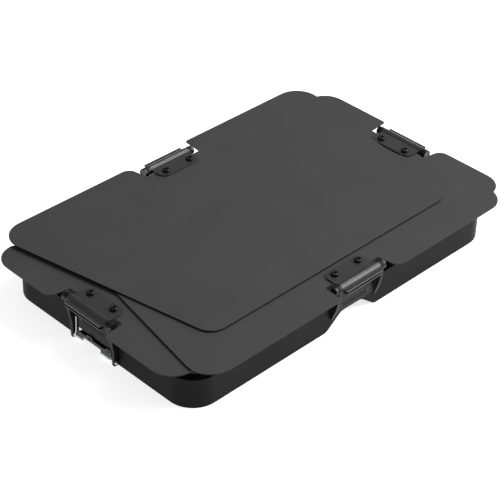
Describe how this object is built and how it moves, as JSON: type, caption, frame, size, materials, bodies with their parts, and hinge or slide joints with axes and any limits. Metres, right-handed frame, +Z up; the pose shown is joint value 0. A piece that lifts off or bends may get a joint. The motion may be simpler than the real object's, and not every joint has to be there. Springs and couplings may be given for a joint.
{
  "type": "folding light barndoor set",
  "caption": "Rectangular rim with folding light-shaping flaps on pin hinges, folded flat, and a sprung side latch.",
  "frame": {"origin": "centre of the rim at the plane of its bottom edge, which it rests on", "axes": "+X along the long side, +Y towards the hinge of the top flap, +Z up out of the folded flaps"},
  "size_m": [0.4412, 0.285, 0.0558],
  "materials": {
    "powder_coat": "fine matt black powder coat",
    "frame_black": "fine matt black powder coat",
    "bracket_black": "satin black powder coat",
    "hinge_black": "satin black powder coat",
    "black_oxide": "black oxide steel",
    "washer_steel": "black oxide spring steel",
    "zinc_plate": "bright zinc plate",
    "spring_wire": "bright spring wire"
  },
  "bodies": {
    "rim": {"frame": "frame_black", "front_bracket": "bracket_black", "front_pivot_pin": "black_oxide", "front_friction_washers": "washer_steel", "front_bracket_rivets": "black_oxide", "right_bracket": "bracket_black", "right_pivot_pin": "black_oxide", "right_friction_washers": "washer_steel", "right_bracket_rivets": "black_oxide", "back_bracket": "bracket_black", "back_pivot_pin": "black_oxide", "back_friction_washers": "washer_steel", "back_bracket_rivets": "black_oxide", "left_bracket": "bracket_black", "left_pivot_pin": "black_oxide", "left_friction_washers": "washer_steel", "left_bracket_rivets": "black_oxide", "latch_pins": "zinc_plate", "latch_spring": "spring_wire", "fixed_catches": "zinc_plate"},
    "front_flap": {"front_leaf": "powder_coat", "front_hinge_plate": "hinge_black", "front_leaf_screws": "black_oxide", "front_leaf_nuts": "black_oxide"},
    "right_flap": {"right_leaf": "powder_coat", "right_hinge_plate": "hinge_black", "right_leaf_screws": "black_oxide", "right_leaf_nuts": "black_oxide"},
    "back_flap": {"back_leaf": "powder_coat", "back_hinge_plate": "hinge_black", "back_leaf_screws": "black_oxide", "back_leaf_nuts": "black_oxide"},
    "left_flap": {"left_leaf": "powder_coat", "left_hinge_plate": "hinge_black", "left_leaf_screws": "black_oxide", "left_leaf_nuts": "black_oxide"},
    "latch": {"latch_plate": "zinc_plate"}
  },
  "joints": [
    {"name": "back_hinge", "type": "hinge", "parent": "rim", "child": "back_flap", "pos_m": [0, 0.1284, 0.0501], "axis": [-1, 0, 0], "range_deg": [0, 190]},
    {"name": "front_hinge", "type": "hinge", "parent": "rim", "child": "front_flap", "pos_m": [0, -0.1284, 0.04825], "axis": [1, 0, 0], "range_deg": [0, 142.5]},
    {"name": "right_hinge", "type": "hinge", "parent": "rim", "child": "right_flap", "pos_m": [0.2065, 0, 0.0464], "axis": [0, 1, 0], "range_deg": [0, 95]},
    {"name": "left_hinge", "type": "hinge", "parent": "rim", "child": "left_flap", "pos_m": [-0.2065, 0, 0.0464], "axis": [0, -1, 0], "range_deg": [0, 95]},
    {"name": "latch_swing", "type": "hinge", "parent": "rim", "child": "latch", "pos_m": [-0.2026, 0, 0.0038], "axis": [0, -1, 0], "range_deg": [0, 24], "stiffness_Nm_per_rad": 0.05, "springref_deg": -34.38}
  ],
  "couplings": [
    {"joint": "front_hinge", "follows": "back_hinge", "ratio": 0.75},
    {"joint": "right_hinge", "follows": "back_hinge", "ratio": 0.5},
    {"joint": "left_hinge", "follows": "back_hinge", "ratio": 0.5}
  ]
}
